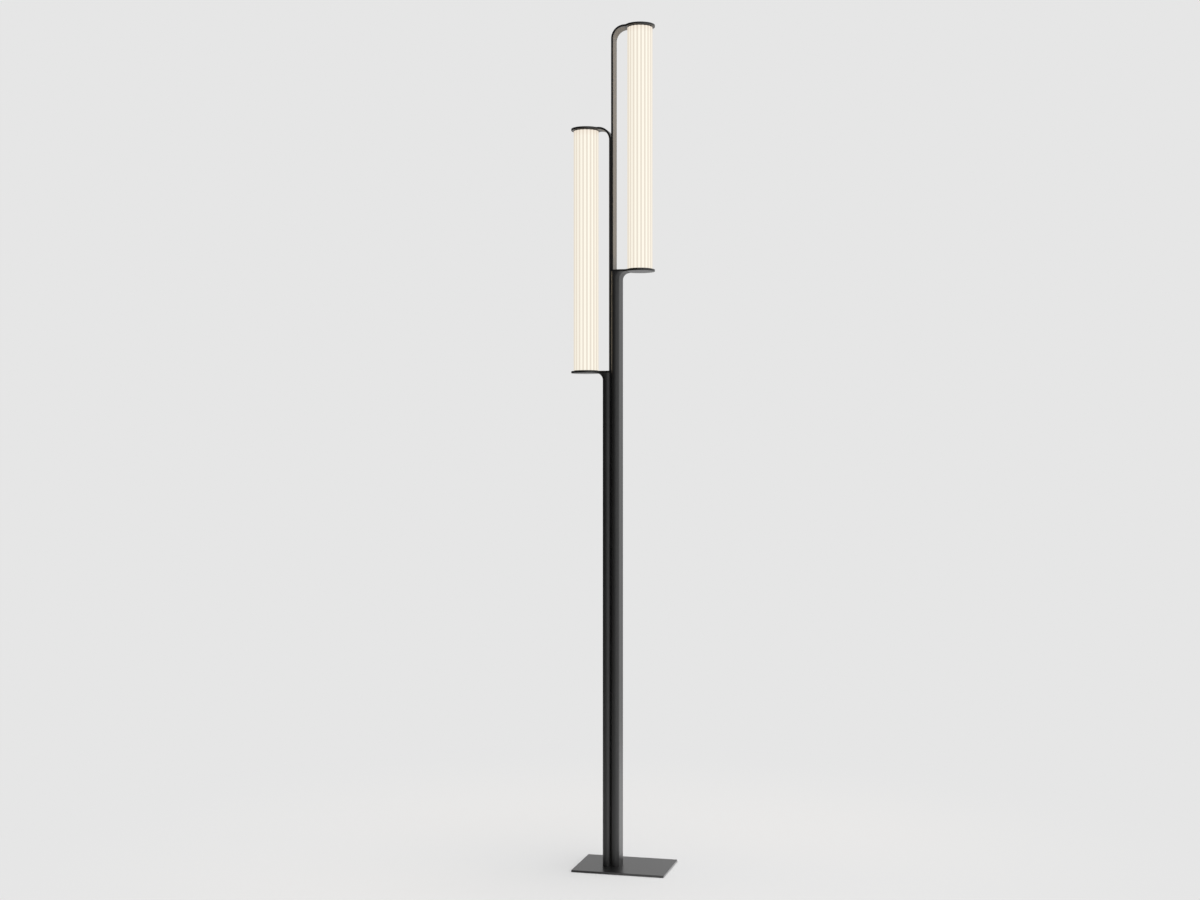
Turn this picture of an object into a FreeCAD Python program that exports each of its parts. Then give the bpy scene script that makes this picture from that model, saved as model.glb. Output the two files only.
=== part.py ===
import FreeCAD, Part
import math
import os
from FreeCAD import Placement, Rotation, Vector

# Outdoor floor lamp: two posts side by side on a thin plate, each with one lit fluted tube between two discs.
# Millimetres. The origin is on the floor under the seam, the plane between the two straps, midway front to
# back: +X to the right, the side of the higher lamp, +Y to the back, +Z up. Each lamp is drawn on the +X
# side, and the left one is mirrored.

# Whole lamp
OVERALL_HEIGHT = 2000.0     # floor to the top of the right lamp's upper disc
LAMP_DROP = 240.0           # how much lower the left lamp sits
CLEAR_HEIGHT = 575.0        # between the two discs of one lamp
LAMP_OFFSET = 66.0          # from the seam to the axis of a tube

# Base plate
PLATE_WIDTH = 222.0
PLATE_DEPTH = 160.0
PLATE_THICKNESS = 5.0
PLATE_SHIFT = 29.5          # from the seam to the plate's middle
PLATE_CORNER = 1.5
PLATE_EDGE = 0.6

# Posts: flat oval tubes
POST_GAP = 0.4              # between the two posts
POST_WIDTH = 20.0
POST_DEPTH = 55.0
POST_CORNER = 9.8
POST_WALL = 2.5

# Arms and lower discs
SHEET = 5.0                 # thickness of the straps and discs
SHEET_EDGE = 0.6            # bevel along their edges
DISC_DIAMETER = 71.5
NECK_RADIUS = 5.0           # inside corner between tongue and disc, seen from above
ARM_WIDTH = 38.0
BEND_RADIUS = 32.0          # outside of the bend from strap to upper disc
TENON_WIDTH = 16.0
TENON_LENGTH = 24.0

# Flared heads on the posts
FLARE_RADIUS = 16.5         # from the post's outer face to the lower disc
FLARE_LIP = 0.8             # thickness left at the flare's tip
COLLAR_HEIGHT = 13.5        # straight collar of the post's section below the flare
PLUG_LENGTH = 70.0

# Diffuser and what seals it
TUBE_DIAMETER = 60.0
TUBE_BORE = 51.0
FLUTE_COUNT = 20
FLUTE_DEPTH = 1.4
GASKET_THICKNESS = 1.5

# Light source
HOLDER_HEIGHT = 10.0
HOLDER_PLAY = 0.6
BOSS_HEIGHT = 8.0
BOSS_BORE = 10.0
OPAL_DIAMETER = 44.0
OPAL_WALL = 2.0
CORE_FLATS = 24.0
CORE_BORE = 14.0
BOARD_COUNT = 6             # one on each flat of the core
BOARD_WIDTH = 10.0
BOARD_THICKNESS = 1.2
BOARD_INSET = 8.0           # from the core's ends to the boards' ends

# Lead from driver to light source
LEAD_DIAMETER = 2.2
LEAD_BEND = 8.0
LEAD_PLAY = 0.2
LEAD_TAIL = 25.0            # straight end inside the core
COVER_WIDTH = 8.0
COVER_THICKNESS = 1.0
COVER_INSET = 2.0           # from strap and tube to the cover's ends

# Foot of each post
SPIGOT_HEIGHT = 60.0
CABLE_BORE = 10.0
GROMMET_DIAMETER = 11.0
GROMMET_RECESS = 7.0
GROMMET_WEB = 1.0
DRIVER_LENGTH = 160.0
DRIVER_WIDTH = 13.0
DRIVER_DEPTH = 25.0
DRIVER_CORNER = 2.0

# Screws: nominal diameter, length and distance between the two of a pair
SPIGOT_SCREW = 5.0
SPIGOT_SCREW_LENGTH = 22.0
SPIGOT_SCREW_SPREAD = 23.0
HEAD_SCREW = 4.0
HEAD_SCREW_LENGTH = 12.0
HEAD_SCREW_SPREAD = 22.0
DISC_SCREW = 4.0
DISC_SCREW_LENGTH = 16.0
DISC_SCREW_SPREAD = 20.0
ARM_SCREW = 3.0
ARM_SCREW_LENGTH = 14.0
ARM_SCREW_SPREAD = 9.0
TIE_SCREW = 4.0
TIE_SCREW_LENGTH = 8.5
TIE_SCREW_SPREAD = 200.0
HOLDER_SCREW = 3.0
HOLDER_SCREW_LENGTH = 14.0
HOLDER_SCREW_SPREAD = 34.0
SET_SCREW = 5.0
SET_SCREW_LENGTH = 8.0
SET_SCREW_HEIGHT = 35.0     # above the plate
SET_SCREW_SINK = 0.6        # below the post's surface
SOCKET_FLATS = 0.5          # hexagon socket, as a share of the screw's diameter
SOCKET_DEPTH = 0.4

# Clearances
FIT = 0.1                   # a plug in its tube, a tenon or cover in its recess
SCREW_PLAY = 0.1
ROUNDING_LIMIT = 0.49       # largest corner radius, as a share of the narrower side

# Levels and places worked out from the sizes above
RIGHT_LEVEL = OVERALL_HEIGHT - SHEET - CLEAR_HEIGHT     # top of the right lower disc
LEFT_LEVEL = RIGHT_LEVEL - LAMP_DROP
POST_INNER = POST_GAP / 2
POST_OUTER = POST_INNER + POST_WIDTH
POST_MIDDLE = POST_INNER + POST_WIDTH / 2
POST_ROUND = min(POST_CORNER, ROUNDING_LIMIT * POST_WIDTH)
BORE_CORNER = max(POST_ROUND - POST_WALL, FIT)
SPIGOT_TOP = PLATE_THICKNESS + SPIGOT_HEIGHT
X_AXIS = Vector(1, 0, 0)
Y_AXIS = Vector(0, 1, 0)
Z_AXIS = Vector(0, 0, 1)


def underside(level):
    """Height of a lower disc's underside."""
    return level - SHEET


def post_top(level):
    """Height where a post ends and the collar of its head begins."""
    return underside(level) - FLARE_LIP - FLARE_RADIUS - COLLAR_HEIGHT


def plug_middle(level):
    """Height of the middle of a head's plug."""
    return post_top(level) - PLUG_LENGTH / 2


def lead_height(level):
    """Height of a lead's axis where it lies in the lower disc, under its cover."""
    return level - COVER_THICKNESS - LEAD_PLAY - LEAD_DIAMETER / 2


def block(x_low, x_high, depth, z_low, z_high):
    """Box that is centred in Y."""
    return Part.makeBox(x_high - x_low, depth, z_high - z_low, Vector(x_low, -depth / 2, z_low))


def rounded_block(x_low, x_high, depth, corner, z_low, z_high):
    """Box that is centred in Y, with rounded upright edges."""
    box = block(x_low, x_high, depth, z_low, z_high)
    upright = [edge for edge in box.Edges if edge.BoundBox.ZLength > (z_high - z_low) / 2]
    return box.makeFillet(min(corner, ROUNDING_LIMIT * min(x_high - x_low, depth)), upright)


def post_bore(inset, z_low, z_high):
    """Block of a post's inner section, drawn in by inset all round."""
    wall = POST_WALL + inset
    return rounded_block(POST_INNER + wall, POST_OUTER - wall, POST_DEPTH - 2 * wall,
                         max(BORE_CORNER - inset, FIT / 2), z_low, z_high)


def placed(shape, point, direction):
    """Copy of a shape whose +Z axis is turned to direction and whose origin is moved to point."""
    copy = shape.copy()
    copy.Placement = Placement(point, Rotation(Z_AXIS, direction))
    return copy


def turned(points):
    """Solid of revolution about Z from (radius, height) points."""
    outline = Part.makePolygon([Vector(r, 0, z) for r, z in points + points[:1]])
    return Part.Face(outline).revolve(Vector(0, 0, 0), Z_AXIS, 360)


def ring(outer, inner, z_low, z_high):
    """Upright ring on the Z axis, from its two diameters."""
    return turned([(inner / 2, z_low), (outer / 2, z_low), (outer / 2, z_high), (inner / 2, z_high)])


def hexagon_prism(flats, height):
    """Hexagonal prism on the Z axis, with flats facing +X and -X."""
    reach = flats / math.sqrt(3)
    angles = [math.radians(30 + 60 * k) for k in range(7)]
    outline = Part.makePolygon([Vector(reach * math.cos(a), reach * math.sin(a), 0) for a in angles])
    return Part.Face(outline).extrude(Vector(0, 0, height))


def countersunk_screw(size, length):
    """Screw along +Z with its flat head at the origin."""
    radius = size / 2
    body = turned([(0, 0), (size, 0), (radius, radius), (radius, length), (0, length)])
    return body.cut(hexagon_prism(SOCKET_FLATS * size, SOCKET_DEPTH * size))


def screw_hole(size, length):
    """Room for a countersunk screw, with its seat, open above the head."""
    radius = size / 2 + SCREW_PLAY
    head = size + SCREW_PLAY
    end = length + SCREW_PLAY
    return turned([(0, -size), (head, -size), (head, 0), (radius, head - radius), (radius, end), (0, end)])


def pair(shape, middle, across, direction):
    """Two copies of a screw or of its hole, on either side of middle."""
    return [placed(shape, middle + across * (sign / 2), direction) for sign in (-1, 1)]


def spigot_screws(make):
    """From below, through the plate into a spigot."""
    shape = make(SPIGOT_SCREW, SPIGOT_SCREW_LENGTH)
    return pair(shape, Vector(POST_MIDDLE, 0, 0), Y_AXIS * SPIGOT_SCREW_SPREAD, Z_AXIS)


def head_screws(make, level):
    """From the inner side, through the post's wall into the head's plug."""
    shape = make(HEAD_SCREW, HEAD_SCREW_LENGTH)
    return pair(shape, Vector(POST_INNER, 0, plug_middle(level)), Y_AXIS * HEAD_SCREW_SPREAD, X_AXIS)


def disc_screws(make, level):
    """From above, through the lower disc's tongue into the head."""
    shape = make(DISC_SCREW, DISC_SCREW_LENGTH)
    return pair(shape, Vector(POST_MIDDLE, 0, level), Y_AXIS * DISC_SCREW_SPREAD, -Z_AXIS)


def arm_screws(make, level):
    """From the inner side, through the arm's tenon into the head."""
    shape = make(ARM_SCREW, ARM_SCREW_LENGTH)
    middle = Vector(POST_INNER, 0, underside(level) - TENON_LENGTH / 2)
    return pair(shape, middle, Y_AXIS * ARM_SCREW_SPREAD, X_AXIS)


def tie_screws(make):
    """From the left strap's outer face into the right strap, where the two run side by side."""
    shape = make(TIE_SCREW, TIE_SCREW_LENGTH)
    middle = Vector(-SHEET, 0, (RIGHT_LEVEL + LEFT_LEVEL + CLEAR_HEIGHT) / 2)
    return pair(shape, middle, Z_AXIS * TIE_SCREW_SPREAD, X_AXIS)


def holder_screws(make, level):
    """From the lower holder's top face into the lower disc."""
    shape = make(HOLDER_SCREW, HOLDER_SCREW_LENGTH)
    middle = Vector(LAMP_OFFSET, 0, level + HOLDER_HEIGHT)
    return pair(shape, middle, Y_AXIS * HOLDER_SCREW_SPREAD, -Z_AXIS)


def set_screw():
    """Headless screw from the back of a post into its spigot."""
    body = Part.makeCylinder(SET_SCREW / 2, SET_SCREW_LENGTH)
    body = body.cut(hexagon_prism(SOCKET_FLATS * SET_SCREW, SOCKET_DEPTH * SET_SCREW))
    return at_set_screw(body, SET_SCREW_SINK)


def set_screw_hole():
    depth = SET_SCREW_SINK + SET_SCREW_LENGTH + SCREW_PLAY
    return at_set_screw(Part.makeCylinder(SET_SCREW / 2 + SCREW_PLAY, depth), 0)


def at_set_screw(shape, sink):
    start = Vector(POST_MIDDLE, POST_DEPTH / 2 - sink, PLATE_THICKNESS + SET_SCREW_HEIGHT)
    return placed(shape, start, -Y_AXIS)


def upside_down(shape, level):
    """Lower end's piece turned over for the upper end of the same lamp."""
    return shape.mirror(Vector(0, 0, level + CLEAR_HEIGHT / 2), Z_AXIS)


def paddle(x_start, width, z_low, z_high):
    """Upright prism of a tongue that widens into a disc, seen from above."""
    disc = DISC_DIAMETER / 2
    half = width / 2
    neck_y = half + NECK_RADIUS
    neck_x = LAMP_OFFSET - math.sqrt((disc + NECK_RADIUS) ** 2 - neck_y ** 2)
    angle = math.atan2(neck_y, LAMP_OFFSET - neck_x)
    bow = (math.pi / 2 + angle) / 2
    touch = (LAMP_OFFSET - disc * math.cos(angle), disc * math.sin(angle))
    dip = (neck_x + NECK_RADIUS * math.cos(bow), neck_y - NECK_RADIUS * math.sin(bow))

    def at(x, y):
        return Vector(x, y, z_low)

    tip = at(LAMP_OFFSET + disc, 0)
    outline = Part.Wire([
        Part.LineSegment(at(x_start, half), at(x_start, -half)).toShape(),
        Part.LineSegment(at(x_start, -half), at(neck_x, -half)).toShape(),
        Part.Arc(at(neck_x, -half), at(dip[0], -dip[1]), at(touch[0], -touch[1])).toShape(),
        Part.Arc(at(touch[0], -touch[1]), tip, at(*touch)).toShape(),
        Part.Arc(at(*touch), at(*dip), at(neck_x, half)).toShape(),
        Part.LineSegment(at(neck_x, half), at(x_start, half)).toShape(),
    ])
    return Part.Face(outline).extrude(Vector(0, 0, z_high - z_low))


def side_solid(edges, depth):
    """Solid from a closed outline in the XZ plane, centred in Y."""
    face = Part.Face(Part.Wire([edge.toShape() for edge in edges]))
    face.translate(Vector(0, -depth / 2, 0))
    return face.extrude(Vector(0, depth, 0))


def lead_path(level, z_start, z_end):
    """Axis of a lead: up the post, along the lower disc's tongue and up into the lamp."""
    run = lead_height(level)
    slope = LEAD_BEND * (1 - math.sqrt(0.5))
    first = POST_MIDDLE
    last = LAMP_OFFSET
    return Part.Wire([
        Part.LineSegment(Vector(first, 0, z_start), Vector(first, 0, run - LEAD_BEND)).toShape(),
        Part.Arc(Vector(first, 0, run - LEAD_BEND), Vector(first + slope, 0, run - slope),
                 Vector(first + LEAD_BEND, 0, run)).toShape(),
        Part.LineSegment(Vector(first + LEAD_BEND, 0, run), Vector(last - LEAD_BEND, 0, run)).toShape(),
        Part.Arc(Vector(last - LEAD_BEND, 0, run), Vector(last - slope, 0, run + slope),
                 Vector(last, 0, run + LEAD_BEND)).toShape(),
        Part.LineSegment(Vector(last, 0, run + LEAD_BEND), Vector(last, 0, z_end)).toShape(),
    ])


def lead_tube(level, radius, z_start, z_end):
    """Round tube along a lead's axis."""
    start = Part.Circle(Vector(POST_MIDDLE, 0, z_start), Z_AXIS, radius).toShape()
    return lead_path(level, z_start, z_end).makePipeShell([Part.Wire([start])], True, False)


def lead_room(level):
    """Channel for a lead, with play, from below the head's plug to above the lower disc."""
    start = post_top(level) - PLUG_LENGTH - SHEET
    return lead_tube(level, LEAD_DIAMETER / 2 + LEAD_PLAY, start, level + LEAD_BEND)


def base_plate():
    half = PLATE_WIDTH / 2
    plate = rounded_block(PLATE_SHIFT - half, PLATE_SHIFT + half, PLATE_DEPTH, PLATE_CORNER,
                          0, PLATE_THICKNESS)
    rim = [edge for edge in plate.Edges if edge.BoundBox.ZMin > PLATE_THICKNESS / 2]
    plate = plate.makeChamfer(PLATE_EDGE, rim)
    grommet_hole = Part.makeCylinder(GROMMET_DIAMETER / 2, PLATE_THICKNESS, Vector(POST_MIDDLE, 0, 0))
    holes = [grommet_hole] + spigot_screws(screw_hole)
    return plate.cut(holes + [mirrored(hole) for hole in holes])


def grommet():
    """Rubber plug with a thin web that the supply cable is pushed through."""
    web_low = (PLATE_THICKNESS - GROMMET_WEB) / 2
    plug = Part.makeCylinder(GROMMET_DIAMETER / 2, PLATE_THICKNESS, Vector(POST_MIDDLE, 0, 0))
    for z in (0, web_low + GROMMET_WEB):
        plug = plug.cut(Part.makeCylinder(GROMMET_RECESS / 2, web_low, Vector(POST_MIDDLE, 0, z)))
    return plug


def spigot():
    body = post_bore(FIT, PLATE_THICKNESS, SPIGOT_TOP)
    bore = Part.makeCylinder(CABLE_BORE / 2, SPIGOT_HEIGHT, Vector(POST_MIDDLE, 0, PLATE_THICKNESS))
    return body.cut([bore, set_screw_hole()] + spigot_screws(screw_hole))


def post(level):
    top = post_top(level)
    outside = rounded_block(POST_INNER, POST_OUTER, POST_DEPTH, POST_ROUND, PLATE_THICKNESS, top)
    tube = outside.cut(post_bore(0, PLATE_THICKNESS, top))
    return tube.cut(head_screws(screw_hole, level) + [set_screw_hole()])


def driver():
    half = DRIVER_WIDTH / 2
    return rounded_block(POST_MIDDLE - half, POST_MIDDLE + half, DRIVER_DEPTH, DRIVER_CORNER,
                         SPIGOT_TOP, SPIGOT_TOP + DRIVER_LENGTH)


def flared_block(level):
    """Block of the post's section whose outer face runs out, rounded edges and all, into a flare."""
    low = post_top(level)
    high = underside(level) - FLARE_LIP
    above = high + 2 * POST_ROUND
    reach = POST_OUTER + FLARE_RADIUS
    far = reach + POST_ROUND
    slope = FLARE_RADIUS * (1 - math.sqrt(0.5))
    foot = Vector(POST_OUTER, 0, high - FLARE_RADIUS)
    tip = Vector(reach, 0, high)
    shoulder = [Vector(POST_INNER, 0, above), Vector(POST_INNER, 0, low), Vector(POST_OUTER, 0, low), foot]
    beyond = [tip, Vector(far, 0, high), Vector(far, 0, above), Vector(POST_INNER, 0, above)]
    outline = [Part.LineSegment(a, b) for a, b in zip(shoulder, shoulder[1:])]
    outline.append(Part.Arc(foot, Vector(POST_OUTER + slope, 0, high - slope), tip))
    outline += [Part.LineSegment(a, b) for a, b in zip(beyond, beyond[1:])]
    body = side_solid(outline, POST_DEPTH)
    rim = [edge for edge in body.Edges if is_flare_edge(edge.BoundBox, low, above, far)]
    return body.makeFillet(POST_ROUND, rim)


def is_flare_edge(box, low, above, far):
    """True for the edges of the front and back that run along the post's height or along the flare."""
    flat = box.ZLength < FIT and (abs(box.ZMin - low) < FIT or abs(box.ZMin - above) < FIT)
    return box.YLength < FIT and not flat and box.XMin < far - FIT


def post_head(level):
    """Casting on a post's top: plug, collar and flare, with a flat top for arm and lower disc."""
    high = underside(level)
    low = post_top(level)
    reach = POST_OUTER + FLARE_RADIUS
    top = block(0, 2 * reach, 2 * POST_DEPTH, high, high + 3 * POST_ROUND)
    end = block(reach, 2 * reach, 2 * POST_DEPTH, low, high)
    body = flared_block(level).cut([top, end]).fuse(post_bore(FIT, low - PLUG_LENGTH, low)).removeSplitter()
    pocket = block(0, SHEET + FIT, TENON_WIDTH + 2 * FIT, high - TENON_LENGTH - FIT, high)
    holes = [pocket, lead_room(level)] + arm_screws(screw_hole, level) + head_screws(screw_hole, level)
    return body.cut(holes + disc_screws(screw_hole, level))


def lower_disc(level):
    """Flat paddle on the head: its tongue butts on the strap, its disc carries the tube."""
    low = underside(level)
    body = paddle(SHEET, ARM_WIDTH, low, level)
    rim = [edge for edge in body.Edges if edge.BoundBox.ZLength < FIT and edge.BoundBox.XMax > SHEET]
    body = body.makeChamfer(SHEET_EDGE, rim)
    width = LEAD_DIAMETER + 2 * LEAD_PLAY
    groove = block(POST_MIDDLE, LAMP_OFFSET, width, lead_height(level), level)
    holes = disc_screws(screw_hole, level) + holder_screws(screw_hole, level)
    return body.cut([lead_room(level), groove, cover_block(level, FIT)] + holes)


def cover_block(level, play):
    """Flush strip over the lead between strap and tube, or its recess with play."""
    x_low = SHEET + COVER_INSET - play
    x_high = LAMP_OFFSET - TUBE_DIAMETER / 2 - COVER_INSET + play
    return block(x_low, x_high, COVER_WIDTH + 2 * play, level - COVER_THICKNESS, level)


def arm(level, ties):
    """Strap on the seam that bends over into the upper disc, with a half-lapped tenon at its foot."""
    low = underside(level)
    high = level + CLEAR_HEIGHT + SHEET
    start = high - BEND_RADIUS
    far = LAMP_OFFSET + DISC_DIAMETER
    inner = BEND_RADIUS - SHEET
    bow = math.sqrt(0.5)
    bends = [Vector(BEND_RADIUS - r * bow, 0, start + r * bow) for r in (BEND_RADIUS, inner)]
    outline = [
        Part.LineSegment(Vector(SHEET, 0, low), Vector(0, 0, low)),
        Part.LineSegment(Vector(0, 0, low), Vector(0, 0, start)),
        Part.Arc(Vector(0, 0, start), bends[0], Vector(BEND_RADIUS, 0, high)),
        Part.LineSegment(Vector(BEND_RADIUS, 0, high), Vector(far, 0, high)),
        Part.LineSegment(Vector(far, 0, high), Vector(far, 0, high - SHEET)),
        Part.LineSegment(Vector(far, 0, high - SHEET), Vector(BEND_RADIUS, 0, high - SHEET)),
        Part.Arc(Vector(BEND_RADIUS, 0, high - SHEET), bends[1], Vector(SHEET, 0, start)),
        Part.LineSegment(Vector(SHEET, 0, start), Vector(SHEET, 0, low)),
    ]
    body = side_solid(outline, 2 * DISC_DIAMETER).common(paddle(-SHEET, ARM_WIDTH, low - SHEET, high + SHEET))
    body = body.makeChamfer(SHEET_EDGE, [edge for edge in body.Edges if is_arm_rim(edge.BoundBox, low)])
    tenon = block(POST_INNER, SHEET, TENON_WIDTH, low - TENON_LENGTH, low)
    body = body.fuse(tenon).removeSplitter()
    screws = [upside_down(hole, level) for hole in holder_screws(screw_hole, level)]
    return body.cut(arm_screws(screw_hole, level) + screws + ties)


def is_arm_rim(box, low):
    """True for the edges along strap, bend and disc, not those across the strap or through its thickness."""
    across = box.XLength < FIT and box.ZLength < FIT
    through = box.XLength < FIT and box.YLength < FIT and box.ZLength < 2 * SHEET
    return not across and not through and box.ZMax > low + SHEET


def diffuser(level):
    """Tube with convex flutes all round, between the two gaskets."""
    step = 2 * math.pi / FLUTE_COUNT
    crest = TUBE_DIAMETER / 2
    root = crest - FLUTE_DEPTH
    low = level + GASKET_THICKNESS
    length = CLEAR_HEIGHT - 2 * GASKET_THICKNESS

    def at(radius, turn):
        return Vector(LAMP_OFFSET + radius * math.cos(turn * step), radius * math.sin(turn * step), low)

    flutes = [Part.Arc(at(root, k), at(crest, k + 0.5), at(root, k + 1)) for k in range(FLUTE_COUNT)]
    section = Part.Face(Part.Wire([flute.toShape() for flute in flutes]))
    bore = Part.makeCylinder(TUBE_BORE / 2, length, Vector(LAMP_OFFSET, 0, low))
    return section.extrude(Vector(0, 0, length)).cut(bore)


def on_lamp_axis(shape, z):
    """Copy of a shape drawn on the Z axis, moved to the lamp's axis at height z."""
    return placed(shape, Vector(LAMP_OFFSET, 0, z), Z_AXIS)


def gasket(level):
    return on_lamp_axis(ring(TUBE_DIAMETER - 2 * FLUTE_DEPTH, TUBE_BORE, 0, GASKET_THICKNESS), level)


def holder(level):
    """Round seat on the lower disc: centres the tubes and carries the core on a boss."""
    seat = (TUBE_BORE - 2 * HOLDER_PLAY) / 2
    boss = (CORE_BORE - 2 * FIT) / 2
    bore = BOSS_BORE / 2
    step = HOLDER_HEIGHT
    top = HOLDER_HEIGHT + BOSS_HEIGHT
    body = turned([(bore, 0), (seat, 0), (seat, step), (boss, step), (boss, top), (bore, top)])
    return on_lamp_axis(body, level).cut(holder_screws(screw_hole, level))


def opal_tube(level):
    tube = ring(OPAL_DIAMETER, OPAL_DIAMETER - 2 * OPAL_WALL, HOLDER_HEIGHT, CLEAR_HEIGHT - HOLDER_HEIGHT)
    return on_lamp_axis(tube, level)


def core_length():
    return CLEAR_HEIGHT - 2 * HOLDER_HEIGHT


def led_core(level):
    body = hexagon_prism(CORE_FLATS, core_length()).cut(Part.makeCylinder(CORE_BORE / 2, core_length()))
    return on_lamp_axis(body, level + HOLDER_HEIGHT)


def led_boards(level):
    board = block(CORE_FLATS / 2, CORE_FLATS / 2 + BOARD_THICKNESS, BOARD_WIDTH, BOARD_INSET,
                  core_length() - BOARD_INSET)
    boards = []
    for k in range(BOARD_COUNT):
        copy = board.copy()
        copy.rotate(Vector(0, 0, 0), Z_AXIS, k * 360 / BOARD_COUNT)
        copy.translate(Vector(LAMP_OFFSET, 0, level + HOLDER_HEIGHT))
        boards.append(copy)
    return boards


def lead(level):
    tail = lead_height(level) + LEAD_BEND + LEAD_TAIL
    return lead_tube(level, LEAD_DIAMETER / 2, SPIGOT_TOP + DRIVER_LENGTH, tail)


def mirrored(shape):
    """Same piece for the left side."""
    return shape.mirror(Vector(0, 0, 0), X_AXIS)


def save(name, solids):
    """Write one piece, or a group of separate solids, under its name."""
    shape = solids[0] if len(solids) == 1 else Part.makeCompound(solids)
    shape.exportStep(os.path.join("parts", name + ".step"))


def lamp_pieces(level, ties):
    """All pieces of one lamp on the +X side, by name."""
    lower_seat = holder(level)
    lower_seal = gasket(level)
    lower_screws = holder_screws(countersunk_screw, level)
    return {
        "spigot": [spigot()],
        "post": [post(level)],
        "driver": [driver()],
        "post_head": [post_head(level)],
        "head_screws": head_screws(countersunk_screw, level),
        "lower_disc": [lower_disc(level)],
        "disc_screws": disc_screws(countersunk_screw, level),
        "arm": [arm(level, ties)],
        "arm_screws": arm_screws(countersunk_screw, level),
        "lead": [lead(level)],
        "lead_cover": [cover_block(level, 0)],
        "diffuser": [diffuser(level)],
        "lower_gasket": [lower_seal],
        "upper_gasket": [upside_down(lower_seal, level)],
        "lower_holder": [lower_seat],
        "upper_holder": [upside_down(lower_seat, level)],
        "lower_holder_screws": lower_screws,
        "upper_holder_screws": [upside_down(screw, level) for screw in lower_screws],
        "opal_tube": [opal_tube(level)],
        "led_core": [led_core(level)],
        "led_boards": led_boards(level),
    }


def both_sides(solids):
    return solids + [mirrored(solid) for solid in solids]


def main():
    os.makedirs("parts", exist_ok=True)
    ties = tie_screws(screw_hole)
    right = lamp_pieces(RIGHT_LEVEL, ties)
    left = lamp_pieces(LEFT_LEVEL, [mirrored(tie) for tie in ties])
    for name, solids in right.items():
        save("right_" + name, solids)
    for name, solids in left.items():
        save("left_" + name, [mirrored(solid) for solid in solids])
    save("base_plate", [base_plate()])
    save("cable_grommets", both_sides([grommet()]))
    save("spigot_screws", both_sides(spigot_screws(countersunk_screw)))
    save("post_set_screws", both_sides([set_screw()]))
    save("tie_screws", tie_screws(countersunk_screw))


main()
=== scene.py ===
import math
import bpy
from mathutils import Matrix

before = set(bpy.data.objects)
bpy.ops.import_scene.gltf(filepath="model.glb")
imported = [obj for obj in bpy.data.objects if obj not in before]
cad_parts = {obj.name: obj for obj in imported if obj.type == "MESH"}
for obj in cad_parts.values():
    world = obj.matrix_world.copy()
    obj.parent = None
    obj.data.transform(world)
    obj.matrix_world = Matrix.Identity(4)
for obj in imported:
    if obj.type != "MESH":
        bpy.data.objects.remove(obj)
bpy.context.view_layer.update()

# Camera: level, a little below the lamp's middle and to the right of its front. Metres and degrees.
CAMERA_PLACE = (0.9502, -3.8572, 0.9916)
CAMERA_YAW = 14.283
LENS_MM = 50.0
SENSOR_MM = 36.0

# Studio: an even fill and soft lobes of light, each with its direction, the cosines where it starts and
# where it is full, and its strength
PALE = 0.791                        # backdrop and far floor
FILL = 0.02
LOBES = (
    ((0.94, 0.34, 0.05), -0.57, 0.30, 0.76),    # bright half of the room, to the right and the back
    ((0.94, -0.34, 0.05), 0.10, 0.77, 0.08),    # window on the right, in front
    ((0.00, 0.10, 0.99), 0.45, 1.0, 1.03),      # overhead
)
FLOOR_COLOUR = 0.83
FLOOR_RADIUS = 7.0
FLOOR_SIDES = 96
FLOOR_FADE = (0.3, 1.6)             # distance from the lamp over which the floor runs into the backdrop
FLOOR_LIT = (0.9, 2.2)              # distance over which its light on the lamp runs into the room's
FLOOR_BOUNCE = 0.85                 # share of the room's light that the near floor sends back besides

# Diffusers: two upright tubes, this far left and right of the seam, with flutes all round. They shine,
# brightest on the flutes' crests, with painted shade of the top disc dimming them just below the top. The
# coat takes light away at their edges.
TUBE_OFFSET = 0.066
TUBE_TOPS = (1.755, 1.995)          # left and right
FLUTE_COUNT = 20
GROOVE_GLOW = (0.696, 0.703, 0.616, 1.0)
FLANK_GLOW = (0.888, 0.911, 0.827, 1.0)
CREST_GLOW = (0.971, 1.042, 0.948, 1.0)
FLANK_SHARE = 0.55                  # place of the flank's glow between groove and crest
# Painted shade of the top disc on each tube: how far down from the top it reaches, and its tint
TOP_SHADE_DEPTH = 0.016
TOP_SHADE_TINT = (0.94, 0.90, 0.89, 1.0)
DIFFUSER_SURFACE = {
    "Base Color": (0.03, 0.03, 0.03, 1.0),
    "Roughness": 0.6,
    "Specular IOR Level": 0.0,
    "Coat Weight": 0.8,
    "Coat Roughness": 0.2,
    "Coat Tint": (0.80, 0.70, 0.66, 1.0),
    "Emission Strength": 1.3,
}

# Glow on the pieces round the tubes: strips of light at the sides of each tube, facing out
STRIPS_PER_TUBE = 4
STRIP_MIDDLES = (1.4675, 1.7075)    # heights, left and right
STRIP_SIZE = (0.040, 0.560)
STRIP_REACH = 0.031                 # from the tube's axis
STRIP_POWER = 1.0
STRIP_COLOUR = (1.0, 0.72, 0.38)

# Powder coats: material slot, darkest and lightest tone, and roughness
COATS = (
    ("plate_coat", (0.010, 0.015), 0.30),
    ("post_coat", (0.014, 0.020), 0.42),
    ("arm_coat", (0.012, 0.018), 0.32),
)
COAT_ROUGHNESS_SWING = 0.05
DRIFT_SCALE = 6.0                   # noise scales are in cycles per metre
FLECK_SCALE = 1800.0
PEEL_SCALE = 520.0
PEEL_DEPTH = 0.000025

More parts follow.
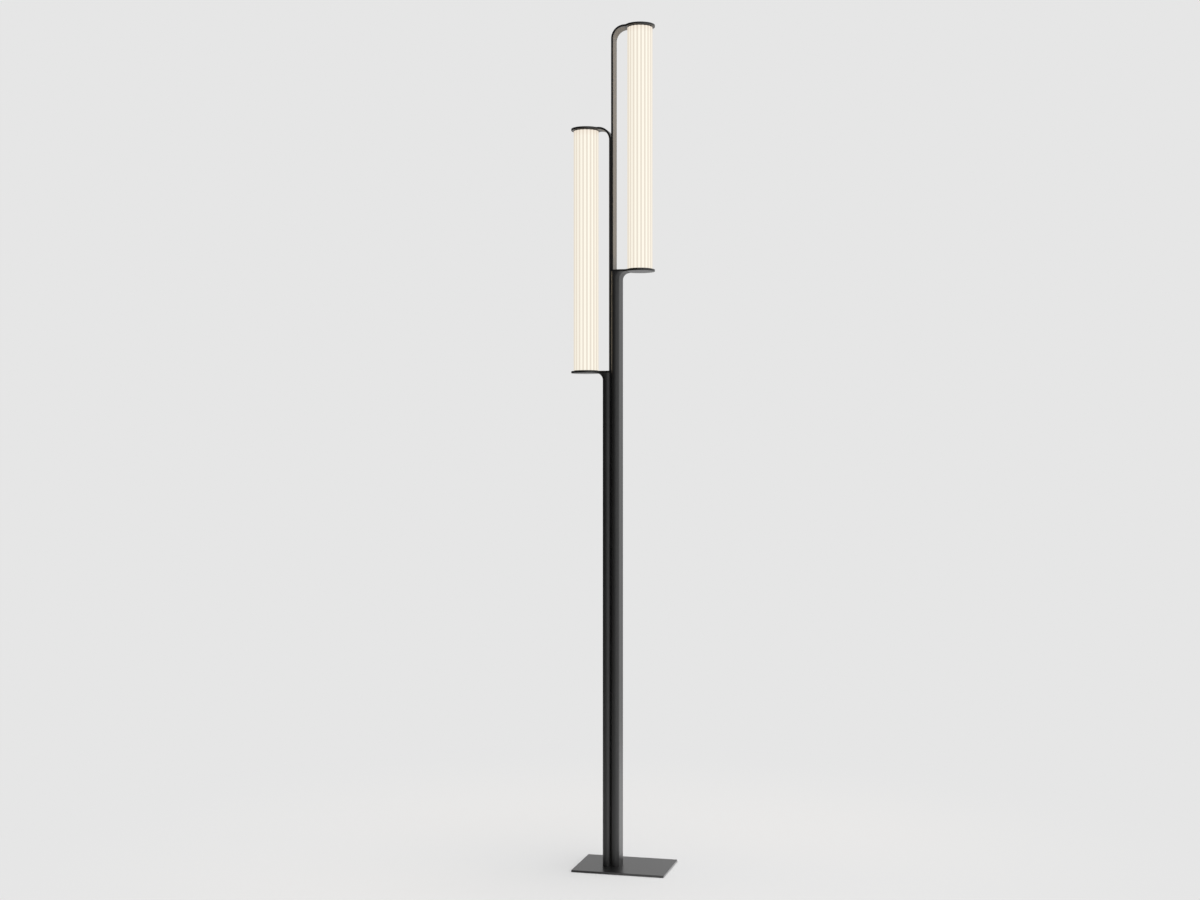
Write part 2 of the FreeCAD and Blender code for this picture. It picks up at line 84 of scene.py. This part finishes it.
# Plain finishes: material slot, colour, roughness, metallic share and grain
ROUND_GRAIN = ((1.0, 1.0, 1.0), 300.0)      # stretch of the coordinates, noise scale
DRAWN_GRAIN = ((1.0, 1.0, 0.02), 900.0)     # drawn out along Z
PLAIN_FINISHES = (
    ("opal_plastic", (0.85, 0.82, 0.75), 0.50, 0.0, ROUND_GRAIN),
    ("bare_aluminium", (0.80, 0.80, 0.81), 0.32, 1.0, DRAWN_GRAIN),
    ("holder_plastic", (0.78, 0.76, 0.70), 0.45, 0.0, ROUND_GRAIN),
    ("led_board", (0.75, 0.74, 0.70), 0.50, 0.0, ROUND_GRAIN),
    ("driver_case", (0.62, 0.62, 0.60), 0.50, 0.0, ROUND_GRAIN),
    ("lead_sheath", (0.30, 0.30, 0.30), 0.55, 0.0, ROUND_GRAIN),
    ("seal_rubber", (0.03, 0.03, 0.03), 0.70, 0.0, ROUND_GRAIN),
    ("screw_steel", (0.62, 0.61, 0.58), 0.35, 1.0, ROUND_GRAIN),
    ("black_screw", (0.03, 0.03, 0.03), 0.40, 0.0, ROUND_GRAIN),
)
GRAIN_DARKEST = 0.8                 # share of the colour
GRAIN_ROUGHNESS_SWING = 0.08
GRAIN_DEPTH = 0.00003

FINE_DETAIL = 3.0                   # octaves of a noise
PLAIN_DETAIL = 2.0
NOISE_RANGE = (0.3, 0.7)            # where most of a noise's values lie
PACKED = "packed."                  # put before the name of a material that a finish replaces


def grey(value):
    """Neutral colour of a brightness."""
    return (value, value, value, 1.0)


def set_inputs(tree, target, inputs):
    """Set a node's inputs to values, or link them to sockets."""
    for name, value in inputs.items():
        if isinstance(value, bpy.types.NodeSocket):
            tree.links.new(value, target.inputs[name])
        else:
            target.inputs[name].default_value = value


def node(tree, kind, inputs=None, **settings):
    """New node with its settings and inputs."""
    made = tree.nodes.new(kind)
    for name, value in settings.items():
        setattr(made, name, value)
    set_inputs(tree, made, inputs or {})
    return made


def maths(tree, operation, *values):
    """Result of one arithmetic step on sockets or numbers."""
    return node(tree, "ShaderNodeMath", dict(enumerate(values)), operation=operation).outputs["Value"]


def vector(tree, operation, output, *values):
    """Result of one step on vectors."""
    return node(tree, "ShaderNodeVectorMath", dict(enumerate(values)), operation=operation).outputs[output]


def rescaled(tree, value, span, to_low, to_high, smooth=False):
    """Value moved from one range to another, held at its ends."""
    kind = "SMOOTHSTEP" if smooth else "LINEAR"
    low, high = span
    inputs = {"Value": value, "From Min": low, "From Max": high, "To Min": to_low, "To Max": to_high}
    return node(tree, "ShaderNodeMapRange", inputs, interpolation_type=kind).outputs["Result"]


def blended(tree, share, first, second, blend="MIX"):
    """Colour mixed from two colours."""
    inputs = {"Factor": share, "A": first, "B": second}
    return node(tree, "ShaderNodeMix", inputs, data_type="RGBA", blend_type=blend).outputs["Result"]


def noise(tree, place, scale, detail=PLAIN_DETAIL):
    """Noise from 0 to 1 at a scale in cycles per metre."""
    inputs = {"Vector": place, "Scale": scale, "Detail": detail}
    return node(tree, "ShaderNodeTexNoise", inputs).outputs["Fac"]


def bump(tree, height, depth):
    """Normal from a height that swings by depth metres."""
    return node(tree, "ShaderNodeBump", {"Height": height, "Distance": depth}).outputs["Normal"]


def mixed(tree, share, first, second):
    """Shader mixed from the outputs of two shader nodes."""
    return node(tree, "ShaderNodeMixShader", {0: share, 1: first.outputs[0], 2: second.outputs[0]})


def emission(tree, colour, strength):
    """Shader node that shines."""
    return node(tree, "ShaderNodeEmission", {"Color": colour, "Strength": strength})


def material(name):
    """New material: its node tree, its shader and the coordinates in the lamp's frame."""
    made = bpy.data.materials.new(name)
    made.use_nodes = True
    tree = made.node_tree
    place = node(tree, "ShaderNodeTexCoord").outputs["Object"]
    return made, tree, tree.nodes["Principled BSDF"], place


def powder_coat(name, tones, roughness):
    """Baked powder: fine orange peel, flecks and a slow drift in tone."""
    made, tree, shader, place = material(name)
    drift = noise(tree, place, DRIFT_SCALE, FINE_DETAIL)
    flecks = noise(tree, place, FLECK_SCALE)
    peel = noise(tree, place, PEEL_SCALE)
    average = maths(tree, "MULTIPLY", maths(tree, "ADD", drift, flecks), 0.5)
    share = rescaled(tree, average, NOISE_RANGE, 0.0, 1.0)
    dark, light = tones
    least = roughness - COAT_ROUGHNESS_SWING
    most = roughness + COAT_ROUGHNESS_SWING
    set_inputs(tree, shader, {
        "Base Color": blended(tree, share, grey(dark), grey(light)),
        "Roughness": rescaled(tree, flecks, NOISE_RANGE, least, most),
        "Normal": bump(tree, peel, PEEL_DEPTH),
    })
    return made


def flute_glow(tree, axes):
    """Colour of the light across the flutes: bright along the crests, dimmer and warmer in the grooves."""
    out = maths(tree, "SUBTRACT", maths(tree, "ABSOLUTE", axes["X"]), TUBE_OFFSET)
    turn = maths(tree, "ARCTAN2", axes["Y"], out)
    phase = maths(tree, "FRACT", maths(tree, "MULTIPLY", turn, FLUTE_COUNT / (2 * math.pi)))
    crest = maths(tree, "MULTIPLY", maths(tree, "PINGPONG", phase, 0.5), 2.0)
    ramp = node(tree, "ShaderNodeValToRGB", {"Fac": crest})
    stops = ramp.color_ramp.elements
    stops[0].color = GROOVE_GLOW
    stops[1].color = CREST_GLOW
    stops.new(FLANK_SHARE).color = FLANK_GLOW
    return ramp.outputs["Color"]


def painted_top_shade(tree, axes):
    """Painted shade of the top disc: a tint that dims the light just below the top of each tube."""
    low, high = TUBE_TOPS
    side = maths(tree, "MULTIPLY", maths(tree, "SIGN", axes["X"]), (high - low) / 2)
    below = maths(tree, "SUBTRACT", maths(tree, "ADD", side, (high + low) / 2), axes["Z"])
    return blended(tree, rescaled(tree, below, (0.0, TOP_SHADE_DEPTH), 0.0, 1.0), TOP_SHADE_TINT, grey(1.0))


def fluted_diffuser():
    """Lit fluted tube, with painted shade of the top disc just below its top."""
    made, tree, shader, place = material("fluted_diffuser")
    axes = node(tree, "ShaderNodeSeparateXYZ", {"Vector": place}).outputs
    lit = blended(tree, 1.0, flute_glow(tree, axes), painted_top_shade(tree, axes), "MULTIPLY")
    set_inputs(tree, shader, DIFFUSER_SURFACE)
    set_inputs(tree, shader, {"Emission Color": lit})
    return made


def plain_finish(name, colour, roughness, metallic, grain):
    """Simple finish with grain in its tone and roughness."""
    made, tree, shader, place = material(name)
    stretch, scale = grain
    mottle = noise(tree, vector(tree, "MULTIPLY", "Vector", place, stretch), scale, FINE_DETAIL)
    darker = tuple(GRAIN_DARKEST * c for c in colour) + (1.0,)
    least = roughness - GRAIN_ROUGHNESS_SWING
    most = roughness + GRAIN_ROUGHNESS_SWING
    set_inputs(tree, shader, {
        "Base Color": blended(tree, mottle, darker, colour + (1.0,)),
        "Roughness": rescaled(tree, mottle, NOISE_RANGE, least, most),
        "Metallic": metallic,
        "Normal": bump(tree, mottle, GRAIN_DEPTH),
    })
    return made


def dress():
    """Give every CAD piece the finish of its material slot."""
    pieces = list(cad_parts.values())
    for name in sorted({slot.material.name for obj in pieces for slot in obj.material_slots}):
        bpy.data.materials[name].name = PACKED + name
    finishes = [powder_coat(*row) for row in COATS]
    finishes += [plain_finish(*row) for row in PLAIN_FINISHES]
    finishes.append(fluted_diffuser())
    made = {finish.name: finish for finish in finishes}
    for obj in pieces:
        for slot in obj.material_slots:
            slot.material = made[slot.material.name.removeprefix(PACKED)]


def room_light(tree, direction):
    """Strength of the studio's light from a direction."""
    light = FILL
    for towards, start, full, strength in LOBES:
        aim = vector(tree, "DOT_PRODUCT", "Value", direction, towards)
        light = maths(tree, "ADD", light, rescaled(tree, aim, (start, full), 0.0, strength, smooth=True))
    return light


def studio_world():
    """Pale backdrop for the camera, and a gradient of light for everything else."""
    world = bpy.data.worlds.new("studio")
    bpy.context.scene.world = world
    world.use_nodes = True
    tree = world.node_tree
    tree.nodes.clear()
    light = room_light(tree, node(tree, "ShaderNodeTexCoord").outputs["Generated"])
    studio = node(tree, "ShaderNodeBackground", {"Color": grey(1.0), "Strength": light})
    pale = node(tree, "ShaderNodeBackground", {"Color": grey(PALE), "Strength": 1.0})
    path = node(tree, "ShaderNodeLightPath").outputs
    seen = maths(tree, "MAXIMUM", path["Is Camera Ray"], path["Is Transmission Ray"])
    shown = mixed(tree, seen, studio, pale)
    node(tree, "ShaderNodeOutputWorld", {"Surface": shown.outputs[0]})


def floor_surface():
    """Pale matt floor. The camera sees it run into the backdrop further out.

    The lamp gets more light back from the near floor than the camera sees there, and the room's light
    from the far floor.
    """
    surface = bpy.data.materials.new("floor")
    surface.use_nodes = True
    tree = surface.node_tree
    tree.nodes.clear()
    place = node(tree, "ShaderNodeTexCoord").outputs["Object"]
    distance = vector(tree, "LENGTH", "Value", place)
    light = room_light(tree, vector(tree, "NORMALIZE", "Vector", place))
    matt = node(tree, "ShaderNodeBsdfDiffuse", {"Color": grey(FLOOR_COLOUR)})
    far = rescaled(tree, distance, FLOOR_FADE, 0.0, 1.0, smooth=True)
    seen = mixed(tree, far, matt, emission(tree, grey(PALE), 1.0))
    bounce = emission(tree, grey(1.0), maths(tree, "MULTIPLY", light, FLOOR_BOUNCE))
    near = node(tree, "ShaderNodeAddShader", {0: matt.outputs[0], 1: bounce.outputs[0]})
    fall = rescaled(tree, distance, FLOOR_LIT, 0.0, 1.0, smooth=True)
    felt = mixed(tree, fall, near, emission(tree, grey(1.0), light))
    shown = mixed(tree, node(tree, "ShaderNodeLightPath").outputs["Is Camera Ray"], felt, seen)
    node(tree, "ShaderNodeOutputMaterial", {"Surface": shown.outputs[0]})
    return surface


def floor():
    """Round floor under the lamp."""
    bpy.ops.mesh.primitive_circle_add(vertices=FLOOR_SIDES, radius=FLOOR_RADIUS, fill_type="NGON")
    made = bpy.context.object
    made.name = "floor"
    made.data.materials.append(floor_surface())


def glow():
    """Strips of light round each tube, facing out, neither seen nor mirrored as strips."""
    for side, height in zip((-1, 1), STRIP_MIDDLES):
        for count in range(STRIPS_PER_TUBE):
            turn = count * 2 * math.pi / STRIPS_PER_TUBE
            lamp = bpy.data.lights.new("glow", "AREA")
            lamp.shape = "RECTANGLE"
            lamp.size, lamp.size_y = STRIP_SIZE
            lamp.energy = STRIP_POWER
            lamp.color = STRIP_COLOUR
            strip = bpy.data.objects.new("glow", lamp)
            across = side * TUBE_OFFSET + STRIP_REACH * math.cos(turn)
            strip.location = (across, STRIP_REACH * math.sin(turn), height)
            strip.rotation_euler = (math.pi / 2, 0, turn - math.pi / 2)
            strip.visible_camera = False
            strip.visible_glossy = False
            bpy.context.scene.collection.objects.link(strip)


def camera():
    """Level camera at the photo's viewing angle."""
    lens = bpy.data.cameras.new("camera")
    lens.lens = LENS_MM
    lens.sensor_width = SENSOR_MM
    made = bpy.data.objects.new("camera", lens)
    made.location = CAMERA_PLACE
    made.rotation_euler = (math.pi / 2, 0, math.radians(CAMERA_YAW))
    bpy.context.scene.collection.objects.link(made)
    bpy.context.scene.camera = made


bpy.context.scene.view_settings.view_transform = "Standard"
dress()
studio_world()
floor()
glow()
camera()
